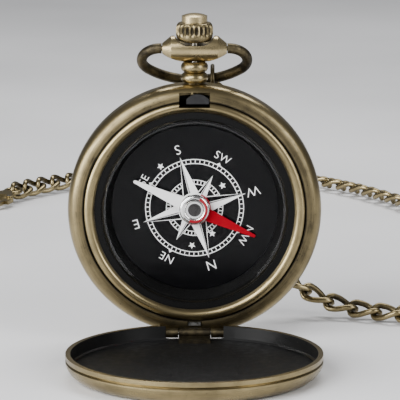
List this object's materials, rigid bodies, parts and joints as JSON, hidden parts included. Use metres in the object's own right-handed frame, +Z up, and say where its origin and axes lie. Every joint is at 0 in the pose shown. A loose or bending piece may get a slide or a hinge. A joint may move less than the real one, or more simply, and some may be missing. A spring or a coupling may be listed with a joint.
{
  "type": "pocket compass",
  "caption": "Brass hunter-case pocket compass with hinged lid, printed dial, needle, push crown, wire bow and curb chain with a clasp.",
  "frame": {"origin": "centre of the flat on the lid's outer face, on the table", "axes": "+Z up, +Y from the open lid towards the case and away from the viewer, +X to the viewer's right"},
  "size_m": [0.114, 0.2209, 0.0611],
  "materials": {
    "antique_brass": "aged satin",
    "chain_brass": "aged satin",
    "clear_glass": "polished",
    "black_plastic": "matt",
    "dial_black": "matt, printed white",
    "needle_paint": "satin, one arm white",
    "bright_metal": "polished",
    "dark_jewel": "polished",
    "spring_steel": "brushed",
    "dark_lining": "dark lacquer"
  },
  "bodies": {
    "case": {"case_band": "antique_brass", "back_cover": "antique_brass", "bezel": "antique_brass", "crystal": "clear_glass", "crystal_gasket": "black_plastic", "capsule_cup": "black_plastic", "capsule_holder": "black_plastic", "dial_card": "dial_black", "pivot_pin": "spring_steel", "pendant_neck": "antique_brass", "pendant_yoke": "antique_brass", "return_spring": "spring_steel", "lift_spring": "spring_steel", "spring_screws": "spring_steel", "case_hinge": "antique_brass", "hinge_pin": "spring_steel", "chain_drop": "chain_brass", "chain": "chain_brass", "clasp_body": "chain_brass", "clasp_pin": "spring_steel"},
    "lid": {"lid_shell": "antique_brass", "lid_lining": "dark_lining", "lid_hinge": "antique_brass"},
    "needle": {"needle": "needle_paint", "needle_cap": "bright_metal", "jewel_cup": "dark_jewel"},
    "crown": {"crown": "antique_brass", "crown_cap": "antique_brass", "push_stem": "spring_steel"},
    "latch": {"latch_spring": "spring_steel"},
    "bow": {"bow": "antique_brass", "chain_ring": "chain_brass"},
    "lever": {"clasp_lever": "chain_brass"}
  },
  "joints": [
    {"name": "lid_hinge", "type": "hinge", "parent": "case", "child": "lid", "pos_m": [0, 0.0223, 0.0027], "axis": [-1, 0, 0], "range_deg": [0, 90]},
    {"name": "needle_spin", "type": "hinge", "parent": "case", "child": "needle", "pos_m": [0, 0.0264, 0.025], "axis": [0, -1, 0], "continuous": true},
    {"name": "crown_push", "type": "slide", "parent": "case", "child": "crown", "axis": [0, 0, -1], "range_m": [0, 0.0005], "stiffness_N_per_m": 600, "deforming": ["return_spring"]},
    {"name": "latch_swing", "type": "hinge", "parent": "case", "child": "latch", "pos_m": [0.01547, 0.0264, 0.03798], "axis": [0, -1, 0], "range_deg": [0, 3]},
    {"name": "bow_swing", "type": "hinge", "parent": "case", "child": "bow", "pos_m": [0, 0.02755, 0.0546], "axis": [1, 0, 0], "range_deg": [0, 245], "deforming": ["chain_drop"]},
    {"name": "clasp_lever", "type": "hinge", "parent": "case", "child": "lever", "pos_m": [-0.04197, 0.16218, 0.00184], "axis": [0.061, 0.1085, -0.9922], "range_deg": [0, 25]}
  ],
  "couplings": [
    {"joint": "latch_swing", "follows": "crown_push", "rad_per_m": 64}
  ]
}
